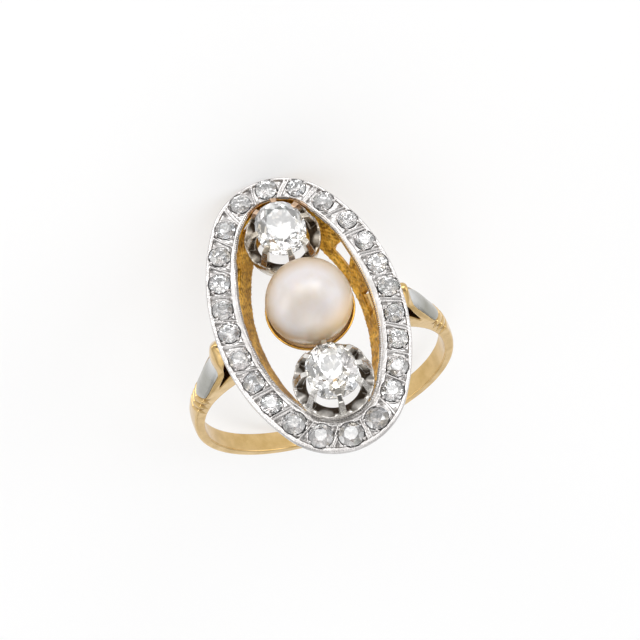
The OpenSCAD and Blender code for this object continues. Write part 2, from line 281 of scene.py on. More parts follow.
def floor_material():
    mat, t, b = material("studio_floor")
    col = t.mix(t.ramp(noise(t, 0.01, 2.0), [(0.3, (0, 0, 0)), (0.7, (1, 1, 1))]), (0.46, 0.46, 0.46), (0.48, 0.48, 0.48))
    t.t.links.new(col, b.inputs["Base Color"])
    b.inputs["Roughness"].default_value = 0.7
    b.inputs["Specular IOR Level"].default_value = 0.1
    b.inputs["Emission Color"].default_value = (1.0, 1.0, 1.0, 1.0)
    b.inputs["Emission Strength"].default_value = 0.5
    return mat


FLOOR = floor_material()
PAINT = {"shank": GOLD, "shoulder_plaque_left": PLAQUE, "shoulder_plaque_right": PLAQUE, "gallery": DEEP_GOLD,
         "oval_frame": WHITE, "collet_upper": COLLET, "collet_lower": COLLET, "diamond_upper": DIAMOND,
         "diamond_lower": DIAMOND, "pearl_cup": CUP_GOLD, "pearl": PEARL}
for node, mat in PAINT.items():
    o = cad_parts[node]
    o.data.materials.clear()
    o.data.materials.append(mat)

# ------------------------------------------------------------------ stage and light
fl = bpy.data.meshes.new("floor")
S = 1.5
fl.from_pydata([(-S, -S, 0), (S, -S, 0), (S, S, 0), (-S, S, 0)], [], [(0, 1, 2, 3)])
fl.materials.append(FLOOR)
floor = bpy.data.objects.new("floor", fl)
bpy.context.scene.collection.objects.link(floor)


def world_light():
    """A pale room with soft boxes in it, as the metal and the stones see it; the camera sees a plain pale backdrop."""
    w = bpy.data.worlds.new("studio")
    bpy.context.scene.world = w
    w.use_nodes = True
    t = Tree(w.node_tree)
    bg = w.node_tree.nodes["Background"]
    out = w.node_tree.nodes["World Output"]
    tc = t.add("ShaderNodeTexCoord")
    nrm = t.add("ShaderNodeVectorMath", operation="NORMALIZE")
    t.link(tc, "Generated", nrm, 0)

    def box(direction, inner_deg, outer_deg, strength):
        d = Vector(direction).normalized()
        dot = t.add("ShaderNodeVectorMath", operation="DOT_PRODUCT")
        t.link(nrm, 0, dot, 0)
        dot.inputs[1].default_value = d
        mr = t.add("ShaderNodeMapRange", interpolation_type="SMOOTHSTEP")
        mr.inputs["From Min"].default_value = math.cos(math.radians(outer_deg))
        mr.inputs["From Max"].default_value = math.cos(math.radians(inner_deg))
        mr.inputs["To Max"].default_value = strength
        t.link(dot, "Value", mr, "Value")
        return mr.outputs[0]

    total = None
    for d, a, c, s in SOFT_BOXES:
        v = box(d, a, c, s)
        total = v if total is None else t.math("ADD", total, v)
    total = t.math("MAXIMUM", t.math("ADD", total, AMBIENT), 0.02)
    t.t.links.new(total, bg.inputs["Strength"])
    bg.inputs["Color"].default_value = (1.0, 1.0, 1.0, 1.0)
    plain = t.add("ShaderNodeBackground")
    plain.inputs["Color"].default_value = (0.93, 0.93, 0.93, 1.0)
    plain.inputs["Strength"].default_value = 1.0
    lp = t.add("ShaderNodeLightPath")
    mx = t.add("ShaderNodeMixShader")
    t.link(lp, "Is Camera Ray", mx, 0)
    t.link(bg, 0, mx, 1)
    t.link(plain, 0, mx, 2)
    t.link(mx, 0, out, "Surface")


def cam_dir(rx, uy):
    """The direction rx degrees to the photograph's right of the camera's and uy degrees up, in the row frame."""
    a, e = math.radians(rx), math.radians(uy)
    v = back * math.cos(a) * math.cos(e) + right * math.sin(a) * math.cos(e) + up * math.sin(e)
    return tuple(v)


AMBIENT = 0.70
# direction, full within, gone past (degrees), strength
SOFT_BOXES = [
    (cam_dir(-4, 48), 22, 40, 1.3),
    (cam_dir(-1, 45.5), 5, 9, 1.7),
    (cam_dir(-32, 32), 8, 16, 2.2),
    (cam_dir(25, 40), 8, 15, 2.6),
    (cam_dir(-78, 5), 22, 36, 2.1),
    (cam_dir(70, 12), 15, 27, 1.15),
    (cam_dir(82, -22), 12, 28, 0.15),
    ((0.25, 0.85, 1.0), 22, 40, 0.5),
    (cam_dir(8, -52), 12, 30, 1.0),
    (cam_dir(0, -8), 10, 22, -0.58),
    (cam_dir(38, -12), 8, 16, -0.45),
    (cam_dir(-48, -20), 8, 18, -0.45),
]
# the tilt of the upper stone's table, turned towards one of the small boxes
UPPER_TILT = np.array(CAM_ROWS[2] * -1.0)
UPPER_TILT = UPPER_TILT + (np.array(cam_dir(6, 37.5)) @ REST)
UPPER_TILT = UPPER_TILT / np.linalg.norm(UPPER_TILT)
world_light()
bpy.context.scene.view_settings.view_transform = "Standard"
bpy.context.scene.view_settings.look = "None"

# PIECES
# ------------------------------------------------------------------ mesh tools
rng = np.random.default_rng(41)


def make(name, verts_mm, faces, mat, nodes=(), painted_light_and_wear=None, tint=None, smooth=True):
    """A mesh piece from points in the ring's frame, in mm. faces is an (n, k) array or a list of index lists."""
    me = bpy.data.meshes.new(name)
    v = to_row(verts_mm).astype(np.float32)
    if isinstance(faces, np.ndarray):
        loops = faces.ravel()
        starts = np.arange(len(faces)) * faces.shape[1]
    else:
        loops = np.concatenate([np.asarray(f) for f in faces])
        starts = np.concatenate([[0], np.cumsum([len(f) for f in faces])[:-1]])
    me.vertices.add(len(v))
    me.vertices.foreach_set("co", v.ravel())
    me.loops.add(len(loops))
    me.loops.foreach_set("vertex_index", loops.astype(np.int32))
    me.polygons.add(len(starts))
    me.polygons.foreach_set("loop_start", starts.astype(np.int32))
    me.polygons.foreach_set("use_smooth", np.full(len(starts), smooth))
    me.update(calc_edges=True)
    me.validate()
    if painted_light_and_wear is not None:
        a = me.attributes.new("painted_light_and_wear", "FLOAT", "POINT")
        a.data.foreach_set("value", np.clip(painted_light_and_wear, 0, 1).astype(np.float32))
    if tint is not None:  # one colour a face
        a = me.color_attributes.new("tint", "FLOAT_COLOR", "CORNER")
        sizes = np.diff(np.append(starts, len(loops)))
        c = np.repeat(np.c_[tint, np.ones(len(tint))], sizes, axis=0).astype(np.float32)
        a.data.foreach_set("color", c.ravel())
    me.materials.append(mat)
    o = bpy.data.objects.new(name, me)
    bpy.context.scene.collection.objects.link(o)
    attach(o, "root")
    if nodes:
        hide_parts(*nodes)
    return o


class Soup:
    """Several closed meshes gathered into one piece."""

    def __init__(self):
        self.v, self.f, self.g, self.n = [], [], [], 0

    def add(self, verts, faces, painted_light_and_wear=0.0):
        self.v.append(verts)
        self.f.extend([np.asarray(f) + self.n for f in faces])
        self.g.append(np.full(len(verts), painted_light_and_wear) if np.isscalar(painted_light_and_wear) else painted_light_and_wear)
        self.n += len(verts)

    def done(self):
        return np.concatenate(self.v), self.f, np.concatenate(self.g)


def smax(a, b, k):
    h = np.maximum(k - np.abs(a - b), 0.0) / k
    return np.maximum(a, b) + h * h * k * 0.25


def smin(a, b, k):
    return -smax(-a, -b, k)


def step(a, b, x):
    t = np.clip((x - a) / (b - a), 0, 1)
    return t * t * (3 - 2 * t)


def table(rows, width=0.0, n=1500):
    """A smooth function through a short table of (x, y) rows; width is how far its corners are eased."""
    rows = np.asarray(rows, float)
    x = np.linspace(rows[0, 0], rows[-1, 0], n)
    y = np.interp(x, rows[:, 0], rows[:, 1])
    if width > 0:
        m = max(2, int(width / (x[1] - x[0])))
        k = np.hanning(2 * m + 3)[1:-1]
        k /= k.sum()
        lo = y[0] + (y[1] - y[0]) * np.arange(-m, 0)
        hi = y[-1] + (y[-1] - y[-2]) * np.arange(1, m + 1)
        y = np.convolve(np.concatenate([lo, y, hi]), k, "valid")
    return lambda q: np.interp(q, x, y)


def nets(f, g1, g2, g3, place, wrap=False, steps=2, reach=0.05):
    """The closed surface f = 0 on a curved grid, as points, quads and the shade of each point's hollow."""
    V = f(*place(*np.meshgrid(g1, g2, g3, indexing="ij"))).astype(np.float32)
    for ax in (1, 2) if wrap else (0, 1, 2):
        for e in (0, -1):
            s = [slice(None)] * 3
            s[ax] = e
            V[tuple(s)] = np.abs(V[tuple(s)]) + 1e-3
    if wrap:
        V = np.concatenate([V, V[:1]], 0)
        g1 = np.append(g1, g1[-1] + (g1[1] - g1[0]))
    I = V < 0
    n1, n2, n3 = V.shape
    cnt = np.zeros((n1 - 1, n2 - 1, n3 - 1), np.uint8)
    corner = [(a, b, c) for a in (0, 1) for b in (0, 1) for c in (0, 1)]
    for a, b, c in corner:
        cnt += I[a:n1 - 1 + a, b:n2 - 1 + b, c:n3 - 1 + c]
    cells = np.argwhere((cnt > 0) & (cnt < 8))
    idx = np.full(cnt.shape, -1, np.int64)
    idx[tuple(cells.T)] = np.arange(len(cells))
    vals = np.stack([V[cells[:, 0] + a, cells[:, 1] + b, cells[:, 2] + c] for a, b, c in corner], 1)
    pos, num = np.zeros((len(cells), 3)), np.zeros(len(cells))
    for i, p in enumerate(corner):
        for j, q in enumerate(corner):
            if j > i and sum(abs(u - w) for u, w in zip(p, q)) == 1:
                m = (vals[:, i] < 0) != (vals[:, j] < 0)
                t = vals[m, i] / (vals[m, i] - vals[m, j])
                pos[m] += np.array(p) + t[:, None] * (np.array(q) - np.array(p))
                num[m] += 1
    pos = cells + pos / num[:, None]
    co = [np.interp(pos[:, k], np.arange(len(g)), g) for k, g in enumerate((g1, g2, g3))]
    P = np.stack(place(*co), 1)
    eps = 1.5e-3

    def grad(Q):
        return np.stack([(f(*(Q + d).T) - f(*(Q - d).T)) / (2 * eps) for d in eps * np.eye(3)], 1)

    for _ in range(steps):
        G = grad(P)
        mv = f(*P.T)[:, None] * G / np.maximum((G ** 2).sum(1), 0.05)[:, None]
        ln = np.linalg.norm(mv, axis=1, keepdims=True)
        P = P - mv * np.minimum(1.0, reach / np.maximum(ln, 1e-9))
    quads = []
    for ax in range(3):
        sh = [slice(None)] * 3
        lo, hi = list(sh), list(sh)
        lo[ax], hi[ax] = slice(0, -1), slice(1, None)
        S = I[tuple(lo)] != I[tuple(hi)]
        loc = np.argwhere(S)
        o1, o2 = [k for k in range(3) if k != ax]
        ok = np.ones(len(loc), bool)
        for k in (o1, o2):
            if k == 0 and wrap:
                ok &= loc[:, k] < V.shape[0] - 1
            else:
                ok &= (loc[:, k] > 0) & (loc[:, k] < V.shape[k] - 1)
        loc = loc[ok]
        inside = I[tuple(loc.T)]
        q = []
        for d1, d2 in ((-1, -1), (0, -1), (0, 0), (-1, 0)):
            c = loc.copy()
            c[:, o1] += d1
            c[:, o2] += d2
            if wrap:
                c[:, 0] %= V.shape[0] - 1
            q.append(idx[tuple(c.T)])
        q = np.stack(q, 1)
        turn = inside if ax == 1 else ~inside
        q[turn] = q[turn][:, ::-1]
        quads.append(q)
    Q = np.concatenate(quads)
    a, b, c, d = (P[Q[:, k]] for k in range(4))
    vol = np.einsum("ij,ij->i", a, np.cross(b, c)).sum() + np.einsum("ij,ij->i", a, np.cross(c, d)).sum()
    if vol < 0:
        Q = Q[:, ::-1]
    G = grad(P)
    N = G / np.maximum(np.linalg.norm(G, axis=1, keepdims=True), 1e-9)
    hollow = np.zeros(len(P))
    for r, w in ((0.12, 0.5), (0.3, 0.5)):
        hollow += w * np.clip(1.15 - f(*(P + N * r).T) / r, 0, 1)
    return P, np.ascontiguousarray(Q), hollow, N


FINE = 1.0


def steps_of(lo, hi, h):
    return np.linspace(lo, hi, max(4, int(round((hi - lo) / (h * FINE))) + 1))


# ------------------------------------------------------------------ the oval
def oval_off(x, y):
    """How far inside the oval's outline a point lies."""
    ax_, ay_ = np.abs(x), np.abs(y)
    a = np.arctan2(ay_, ax_ + SIDE_C)
    side = SIDE_R - np.hypot(ax_ + SIDE_C, ay_)
    end = OVAL_R - np.hypot(ax_, ay_ - END_C)
    return np.where(a < JOINT, side, end)


def oval_lengths(off):
    s = (SIDE_R - off) * JOINT
    e = (OVAL_R - off) * (math.pi - 2 * JOINT)
    return s, e, 4 * s + 2 * e


def oval_share(x, y, off):
    """The share of the way round, from the middle of the right side, at a depth."""
    s, e, L = oval_lengths(off)
    ax_, ay_ = np.abs(x), np.abs(y)
    a = np.arctan2(ay_, ax_ + SIDE_C)
    b = np.arctan2(ay_ - END_C, ax_)
    d = np.where(a < JOINT, a * (SIDE_R - off), s + (np.clip(b, JOINT, math.pi / 2) - JOINT) * (OVAL_R - off))
    q = L / 4
    d = np.where(x < 0, 2 * q - d, d)
    d = np.where(y < 0, L - d, d)
    return (d / L) % 1.0


def oval_at(u, off, ref):
    """Points and inward normals at a share u of the way round (even at depth ref), off inside the outline."""
    s, e, L = oval_lengths(ref)
    d = (np.asarray(u, float) % 1.0) * L
    cx, cy, R, a = (np.zeros_like(d) for _ in range(4))
    for lo, hi, c, r, a0, a1 in (
        (0, s, (-SIDE_C, 0), SIDE_R, 0, JOINT),
        (s, s + e, (0, END_C), OVAL_R, JOINT, math.pi - JOINT),
        (s + e, 3 * s + e, (SIDE_C, 0), SIDE_R, math.pi - JOINT, math.pi + JOINT),
        (3 * s + e, 3 * s + 2 * e, (0, -END_C), OVAL_R, math.pi + JOINT, 2 * math.pi - JOINT),
        (3 * s + 2 * e, L + 1e-9, (-SIDE_C, 0), SIDE_R, -JOINT, 0),
    ):
        m = (d >= lo) & (d <= hi)
        cx[m], cy[m], R[m] = c[0], c[1], r
        a[m] = a0 + (d[m] - lo) / (hi - lo) * (a1 - a0)
    return cx + (R - off) * np.cos(a), cy + (R - off) * np.sin(a), -np.cos(a), -np.sin(a)


# ------------------------------------------------------------------ shank and shoulders
OUT = np.array([(9.3, 0.2), (9.27, 1.2), (9.12, 2.3), (8.88, 3.4), (8.55, 4.5), (8.25, 5.35), (7.95, 6.2), (7.64, 7.1),
                (7.43, 7.6), (7.16, 8.1), (6.93, 8.5), (6.77, 8.9), (6.7, 9.4), (6.68, 10.0), (6.56, 10.6), (6.4, 11.4)])
crown_r = table([(-180, BORE + CROWN), (-40, BORE + CROWN)] + [
    (math.degrees(math.atan2(z, x)), math.hypot(x, z)) for x, z in OUT], 3.0, 4000)
half_w = table([(-20, 0.71), (2.6, 0.715), (4.1, 0.76), (5.2, 0.85), (6.3, 0.95), (7.2, 1.0), (8.1, 1.0), (9.0, 0.95),
                (9.7, 0.82), (10.3, 0.57), (10.86, 0.26), (11.4, 0.05)], 0.35, 4000)
# how far the outer face falls away towards its two edges
dome_d = table([(-20, 0.085), (2.4, 0.085), (3.4, 0.10), (4.5, 0.16), (5.35, 0.26), (6.2, 0.38), (7.1, 0.46), (8.1, 0.43),
                (9.1, 0.36), (10.0, 0.26), (11.4, 0.2)], 0.5)
plaque_w = table([(4.7, -0.12), (4.79, 0.02), (5.2, 0.7), (5.4, 0.78), (6.0, 0.81), (6.7, 0.83), (7.5, 0.84), (8.1, 0.80),
                  (8.6, 0.66), (9.0, 0.42), (9.3, 0.12), (9.5, -0.1)], 0.09)
leaf_in = table([(5.4, 6.3), (6.1, 6.6), (6.5, 6.86), (6.75, 6.89), (7.3, 6.72), (8.14, 6.42), (9.12, 6.2), (9.8, 6.0), (10.86, 5.72), (11.5, 5.6)], 0.2)
prong_up = table([(3.5, 9.9), (3.99, 9.5), (5.2, 8.6), (5.94, 8.03), (6.4, 7.45), (6.9, 6.63), (7.4, 5.7)], 0.15)
prong_in = table([(0.2, 8.3), (3.2, 7.4), (6.7, 5.3), (8.2, 4.5), (9.14, 3.99), (9.8, 3.97)], 0.2)
V_CUTS = (4.66, 4.0, 3.32)


def outer_face(x, y, z):
    """Distance outside the crown of the hoop and the outer faces of the shoulders."""
    X = np.abs(x - SHANK_X + 0.2 * step(8.0, 9.4, z))
    r = np.hypot(X, z)
    th = np.degrees(np.arctan2(z, X))
    ro = crown_r(th)
    slope = (crown_r(th + 0.4) - crown_r(th - 0.4)) / math.radians(0.8) / np.maximum(r, 1)
    return (r - ro) / np.sqrt(1 + slope ** 2)


def v_depth(y, z):
    d = np.zeros_like(z)
    for c in V_CUTS:
        t = np.abs(z - c - 0.62 * np.abs(y) + 0.02) / 0.19
        d = np.maximum(d, 1 - np.minimum(t, 1))
    return d


def notch_depth(out, y, z):
    """The V cuts run on a little way over the shoulder's two side faces."""
    s = np.clip(-out, 0, 1)
    d = np.zeros_like(z)
    for c in V_CUTS:
        t = np.abs(z - c - 0.5 + 1.3 * s) / (0.2 - 0.16 * s)
        d = np.maximum(d, (1 - np.minimum(t, 1)) * np.clip(1 - s / 0.7, 0, 1))
    return d


def domed_face(x, y, z):
    return outer_face(x, y, z) + dome_d(z) * (y / half_w(z)) ** 2


def shank(x, y, z):
    X = np.abs(x - SHANK_X)
    r = np.hypot(X, z)
    ay_ = np.abs(y)
    # the right tip ends a little lower than the left one
    zt = z + np.where(x > 0, 0.45, -0.28) * step(8.6, 9.9, z)
    hw = half_w(zt)
    out = domed_face(x, y, z)
    top = out + 0.21 * v_depth(y, z)
    side = (ay_ - hw) * 0.97 + 0.2 * notch_depth(out, y, z)
    m = smax(top, side, 0.16 + 0.06 * step(2.4, 4.6, z))
    m = smax(m, BORE - r, 0.0001)
    m = smax(m, smax(BORE - r, side, 0.10), 0.0001)
    Xb = X + (np.abs(x) - X) * step(8.2, 9.4, z)
    fork = smax((Xb - leaf_in(z)) * 0.94, (prong_up(Xb) - z) * 0.8, 0.05)
    m = np.where(z > 4.5, smax(m, -fork, 0.12), m)
    inner = np.where(z > 3.0, (prong_in(z) - Xb) * 0.88, -1.0)
    m = smax(m, inner, 0.10)
    m = smax(m, zt - 10.86, 0.34)
    low = smax(ay_ - plaque_w(z), -(out + 0.13), 0.03)
    return np.where(z > 4.5, smax(m, -low, 0.05), m)


def build_shank():
    th = np.concatenate([steps_of(-248, -196, 0.33), steps_of(-196, -164, 0.8)[1:], steps_of(-164, -16, 1.7)[1:],
                         steps_of(-16, 16, 0.8)[1:], steps_of(16, 68.5, 0.33)[1:]])
    rr = steps_of(8.45, 12.9, 0.05)
    yy = steps_of(-1.1, 1.1, 0.05)

    def place(a, r, y):
        a = np.radians(a)
        return SHANK_X + r * np.cos(a), y, r * np.sin(a)

    P, Q, hollow, N = nets(shank, th, rr, yy, place)
    x, y, z = P.T
    # painted shade: the shank darker in its hollows and in the V cuts near the outer face
    cuts = np.maximum(v_depth(y, z), notch_depth(domed_face(x, y, z), y, z) * (np.abs(y) > half_w(z) - 0.2))
    near = step(-0.45, -0.3, domed_face(x, y, z)) * (z > 2.5)
    painted_light_and_wear = np.maximum(np.clip((hollow - 0.25) * 1.6, 0, 1) * step(2.5, 3.2, z) * 0.6, np.clip(cuts * 1.6 - 0.5, 0, 1) * near)
    make("shank_body", P, Q, GOLD, ("shank",), painted_light_and_wear)


def build_plaques():
    """The white leaves, each a slightly domed plate that follows the shoulder's outer face."""
    for side, name in ((-1, "left"), (1, "right")):
        zz = np.linspace(4.78, 9.38, 66)
        tt = np.linspace(-1, 1, 25)
        Z, Tt = np.meshgrid(zz, tt, indexing="ij")
        w = np.maximum(plaque_w(Z) - 0.03, 0.01)
        Y = Tt * w
        # where the outer face is at each height
        X = np.interp(Z, OUT[:, 1], OUT[:, 0])
        for _ in range(6):
            X = X - domed_face(side * X + SHANK_X, Y, Z)
        nx = domed_face(side * (X + 0.01) + SHANK_X, Y, Z) / 0.01
        nz = np.sqrt(np.clip(1 - nx ** 2, 0, 1))
        edge = np.clip((1 - np.abs(Tt)) * w, 0, 0.12) / 0.12
        ends = np.clip(np.minimum(Z - 4.78, 9.38 - Z), 0, 0.08) / 0.08
        rise = -0.075 + 0.085 * np.sqrt(np.clip(edge * ends, 0, 1)) - 0.02 * Tt ** 2
        top = np.stack([side * (X + rise * nx) + SHANK_X, Y, Z + rise * nz], -1).reshape(-1, 3)
        low = np.stack([side * (X - 0.11 * nx) + SHANK_X, Y, Z - 0.11 * nz], -1).reshape(-1, 3)
        n, k = Z.shape
        i, j = np.meshgrid(np.arange(n - 1), np.arange(k - 1), indexing="ij")
        a = (i * k + j).ravel()
        q = np.stack([a, a + 1, a + k + 1, a + k], 1)
        rim = [*range(0, k), *[r * k + k - 1 for r in range(1, n)], *range(n * k - 2, (n - 1) * k - 1, -1),
               *[r * k for r in range(n - 2, 0, -1)]]
        rim = np.array(rim)
        nxt = np.roll(rim, -1)
        m = n * k
        faces = np.concatenate([q, q[:, ::-1] + m, np.stack([nxt, rim, rim + m, nxt + m], 1)])
        if side < 0:
            faces = faces[:, ::-1]
        # painted sheen: each plaque painted lighter towards its upper end and a little towards its lower end, the left
        # one lighter overall, the underside half as light
        painted_sheen = np.clip((Z - 7.4) / 1.5, 0, 1) * 0.8 + np.clip(5.6 - Z, 0, 1) * 0.4
        painted_sheen = painted_sheen + (0.2 if side < 0 else 0.0)
        g = np.concatenate([np.clip(painted_sheen, 0, 1).ravel(), np.ones(m) * 0.5])
        v = np.concatenate([top, low])
        a, b, c = v[faces[:, 0]], v[faces[:, 1]], v[faces[:, 2]]
        if np.einsum("ij,ij->i", a, np.cross(b, c)).sum() < 0:
            faces = faces[:, ::-1]
        make("plaque_" + name, v, np.ascontiguousarray(faces), PLAQUE, ("shoulder_plaque_" + name,), g)


# ------------------------------------------------------------------ under-gallery
GAL_Z = FRAME_Z - FRAME_T + 0.26 - 0.03
GAL_SECTION = np.array([(GAL_FOOT, RAIL_Z), (GAL_FOOT + GAL_T + 0.14, RAIL_Z), (GAL_FOOT + GAL_T + 0.1, RAIL_Z + 0.2),
                        (GAL_TOP + GAL_T, GAL_Z), (GAL_TOP, GAL_Z), (GAL_FOOT - 0.1, RAIL_Z + 0.42),
                        (GAL_FOOT - 0.02, RAIL_Z + 0.3)])


def polygon_distance(p, q, verts):
    d = np.full(np.shape(p), 1e9)
    s = np.ones(np.shape(p))
    n = len(verts)
    for i in range(n):
        a, b = verts[i], verts[i - 1]
        ex, ey = b - a
        wx, wy = p - a[0], q - a[1]
        t = np.clip((wx * ex + wy * ey) / (ex * ex + ey * ey), 0, 1)
        d = np.minimum(d, (wx - ex * t) ** 2 + (wy - ey * t) ** 2)
        c1, c2, c3 = q >= a[1], q < b[1], ex * wy > ey * wx
        s = np.where((c1 & c2 & c3) | (~c1 & ~c2 & ~c3), -s, s)
    return s * np.sqrt(d)


WIN_OFF = (GAL_TOP + GAL_FOOT + GAL_T) / 2


def gallery(x, y, z):
    off = oval_off(x, y)
    m = polygon_distance(off, z, GAL_SECTION) - 0.01
    L = oval_lengths(WIN_OFF)[2]
    u = (oval_share(x, y, WIN_OFF) + 0.006) * 10
    k = np.round(u)
    t = (u - k) * L / 10
    # windows, wider at the sill, which slopes down outwards
    h = np.where(np.abs(k % 10 - 0.5) < 0.6, 1.0, 0.5)
    top = GAL_Z - 0.08
    face = GAL_TOP + GAL_T + 0.477 * (GAL_Z - z)
    sill = top - h - 0.9 * np.clip(face - off, 0, 0.6) * (h > 0.9)
    wide = 0.9 - 0.36 * np.clip((z - top + h) / h, 0, 1)
    win = smax(smax((np.abs(t) - wide) * 0.94, z - top, 0.05), (sill - z) * 0.76, 0.05)
    # the wall was cut and filed by hand
    m = m - 0.016 * np.sin(u * 31.0 + z * 9.0) * np.sin(z * 13.0 + u * 17.0) - 0.009 * np.sin(u * 83.0 - z * 21.0)
    return smax(m, -win, 0.05)


def build_gallery():
    n = int(560 / FINE)
    us = np.arange(n) / n

    def place(u, off, z):
        px, py, _, _ = oval_at(u, off, 2.0)
        return px, py, z

    P, Q, hollow, N = nets(gallery, us, steps_of(1.24, 2.84, 0.062), steps_of(RAIL_Z - 0.1, GAL_Z + 0.1, 0.062), place, True)
    # painted shade: the wall darker lower down, under the frame, and in its hollows
    lower_wall_shade = step(10.9, 9.6, P[:, 2]) * 0.25
    # painted shade: the left wall painted darker, the right one nearly clear of it
    left_wall_shade = 2.2 - 2.15 * step(-2.0, 3.5, P[:, 0])
    painted_light_and_wear = (np.clip((hollow - 0.3) * 1.2, 0, 1) * 0.6 + lower_wall_shade) * left_wall_shade
    make("gallery_wall", P, Q, DEEP_GOLD, ("gallery",), painted_light_and_wear)


# ------------------------------------------------------------------ cup
cup_out = table([(0, 9.69), (0.8, 9.71), (1.5, 9.82), (2.0, 10.2), (2.4, 10.75), (2.7, 11.3), (2.86, 11.7), (2.9, 12.2)], 0.25)


def cup(x, y, z):
    X = x - PEARL_X
    r = np.hypot(X, y)
    out = np.hypot(r, (z - 12.25) * 1.13) - 2.92
    out = smax(out, 9.69 - z, 0.5)
    # the hollow is a little wider than the pearl at its mouth
    hol = np.hypot(r, (z - 12.45) * 1.02) - 2.79
    m = smax(smax(out, z - CUP_Z, 0.04), -hol, 0.04)
    for cx, cy, rr in ((UPPER_X, STONE_D, RIM_UPPER), (LOWER_X, -STONE_D, RIM_LOWER)):
        m = smax(m, rr + 0.035 - np.hypot(x - cx, y - cy), 0.03)
    return m


def build_cup():
    P, Q, hollow, N = nets(cup, steps_of(-3.0, 3.3, 0.055), steps_of(-3.0, 3.0, 0.055), steps_of(9.6, 11.85, 0.055),
                           lambda a, b, c: (a, b, c))
    # painted shade: the cup darker inside, round the pearl, and in its hollows
    inside = np.clip((2.76 - np.hypot(P[:, 0] - PEARL_X, P[:, 1])) / 0.08, 0, 1) * (N[:, 2] > -0.2)
    make("cup_body", P, Q, CUP_GOLD, ("pearl_cup",), np.clip(inside * 0.15 + hollow * 0.15, 0, 1))


# ------------------------------------------------------------------ collets
def girdle_at(a):
    return 1 / np.sqrt((np.cos(a) / STONE_RX) ** 2 + (np.sin(a) / STONE_RY) ** 2)


def capsule(p, q, a, b, ra, rb):
    """Distance to a tapering bar from a to b in the plane; a and b may vary from point to point."""
    ex, ey = b[0] - a[0], b[1] - a[1]
    t = np.clip(((p - a[0]) * ex + (q - a[1]) * ey) / (ex * ex + ey * ey), 0, 1)
    return np.hypot(p - a[0] - ex * t, q - a[1] - ey * t) - (ra + (rb - ra) * t)


CLAWS = {"upper": [-138, -89.7, -53, 8, 41.5, 85, 125, 178.5], "lower": [-147, -94, -40, -2.4, 37, 86, 128.3, 169.5]}


def collet_parts(x, y, z, rim, claws, lip):
    """The bowl and the claws of one collet, each as a distance."""
    r = np.hypot(x, y)
    phi = np.arctan2(y, x)
    A = np.radians(np.array([claws[-1] - 360.0] + list(claws) + [claws[0] + 360.0]))
    k = np.clip(np.searchsorted(A, phi), 1, len(A) - 1)
    lo, hi = A[k - 1], A[k]
    first = phi - lo < hi - phi
    ca = np.where(first, lo, hi)
    a = phi - ca
    rho, t = r * np.cos(a), r * np.sin(a)
    g = girdle_at(ca) + 0.02
    # bowl: a thin wall with a scalloped rim and a ledge round the open middle
    mid = (hi - lo) / 2 - np.abs(a)  # 0 midway between two claws
    arc = mid * r * 0.785 / (hi - lo)
    dip = np.maximum(np.sqrt(np.maximum(0.56 ** 2 - arc ** 2, 0)) - 0.24, 0)
    Z = RIM_Z
    bowl = polygon_distance(r, z, np.array([(rim, Z), (rim - lip, Z), (rim - lip - 0.05, Z - 0.14), (1.78, Z - 0.40), (1.72, Z - 0.52),
                                            (1.80, Z - 0.62), (rim - 0.3, Z - 1.19), (rim - 0.1, Z - 1.19), (rim - 0.01, Z - 0.6)])) - 0.012
    bowl = smax(bowl, (z - (Z - dip)) * 0.85, 0.05)
    # claws: plates that rise from the rim to the girdle and fold over it
    c1 = capsule(rho, z, (rim - 0.22, Z - 0.28), (g + 0.17, GIRDLE_Z - 0.02), 0.27, 0.17)
    c2 = capsule(rho, z, (g + 0.17, GIRDLE_Z + 0.02), (g - 0.10, GIRDLE_Z + 0.235), 0.16, 0.09)
    c3 = capsule(rho, z, (rim - 0.22, Z - 0.25), (rim - 0.62, Z - 0.6), 0.2, 0.10)
    cl = smin(smin(c1, c2, 0.06), c3, 0.08)
    wide = 0.165 + 0.07 * step(g + 0.12, rim - 0.05, rho)
    cl = smax(cl, (np.abs(t) - wide), 0.025)
    cl = smax(cl, rho - rim - 0.005, 0.03)
    # the girdle's seat
    seat = np.hypot(x / STONE_RX, y / STONE_RY) - 1.0
    cl = smax(cl, -smax(seat * 1.5, np.abs(z - GIRDLE_Z) - 0.07, 0.02), 0.02)
    return bowl, cl


